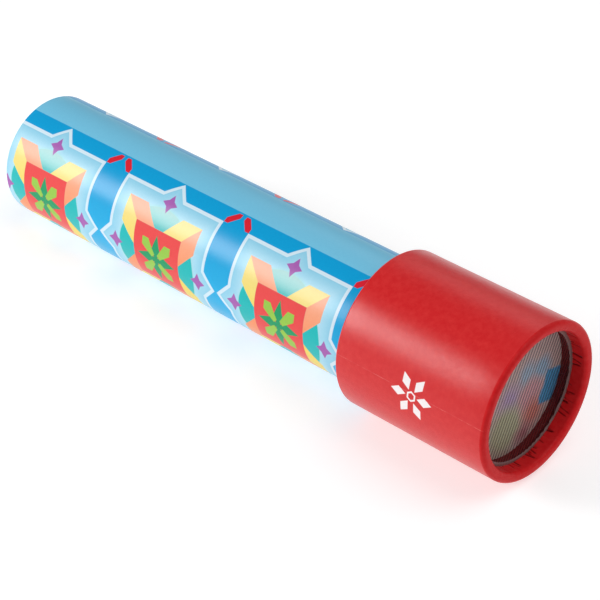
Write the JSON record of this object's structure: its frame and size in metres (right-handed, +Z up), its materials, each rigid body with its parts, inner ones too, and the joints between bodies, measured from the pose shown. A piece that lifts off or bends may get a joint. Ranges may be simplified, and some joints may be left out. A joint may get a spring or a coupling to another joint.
{
  "type": "kaleidoscope",
  "caption": "Kaleidoscope: a round tube with a tiled print and an eye hole, three mirrors inside, and a wider turning cap that holds loose coloured chips behind a ridged lens.",
  "frame": {"origin": "centre of the eye end, at the mouth of the eye hole", "axes": "+X along the tube's axis from the eye end to the lens, +Z up as the toy lies, +Y completes the right-handed frame"},
  "size_m": [0.2354, 0.057, 0.057],
  "materials": {
    "grey_board": "raw spiral-wound board",
    "printed_paper": "satin laminated print",
    "blue_paper": "satin paper",
    "red_paper": "satin paper with a fine fibre texture",
    "black_card": "matte card",
    "mirror_strip": "polished",
    "clear_plastic": "clear, polished",
    "frosted_plastic": "frosted, translucent",
    "lens_plastic": "clear, ridged",
    "blue_translucent": "translucent",
    "pink_translucent": "translucent",
    "green_translucent": "translucent",
    "red_translucent": "translucent",
    "orange_translucent": "translucent",
    "clear_translucent": "translucent",
    "purple_translucent": "translucent"
  },
  "bodies": {
    "barrel": {"barrel_tube": "grey_board", "printed_wrap": "printed_paper", "eye_end_disc": "grey_board", "eye_end_label": "blue_paper", "eye_window": "clear_plastic", "eye_spacer_ring": "grey_board", "mirror_holder_rear": "grey_board", "mirror_holder_front": "grey_board", "mirror_bottom": "mirror_strip", "mirror_left": "mirror_strip", "mirror_right": "mirror_strip", "mirror_jacket": "black_card", "barrel_window": "clear_plastic", "window_ring": "grey_board", "stop_collar": "grey_board", "guide_collar": "grey_board"},
    "turning_cap": {"cap_sleeve": "grey_board", "cap_wrap": "red_paper", "rim_ring": "grey_board", "rear_ring": "grey_board", "prism_lens": "lens_plastic", "lens_spacer_ring": "grey_board", "chamber_screen": "frosted_plastic", "chamber_ring": "clear_plastic", "chamber_window": "clear_plastic", "chamber_seat_ring": "grey_board"},
    "loose_pieces": {"blue_chips": "blue_translucent", "pink_chips": "pink_translucent", "green_chips": "green_translucent", "red_chips": "red_translucent", "orange_chips": "orange_translucent", "clear_chips": "clear_translucent", "purple_beads": "purple_translucent"}
  },
  "joints": [
    {"name": "cap_turn", "type": "hinge", "parent": "barrel", "child": "turning_cap", "pos_m": [0.2042, 0, 0], "axis": [1, 0, 0], "continuous": true},
    {"name": "heap_slide", "type": "hinge", "parent": "turning_cap", "child": "loose_pieces", "pos_m": [0.2225, 0, 0], "axis": [1, 0, 0], "continuous": true}
  ]
}
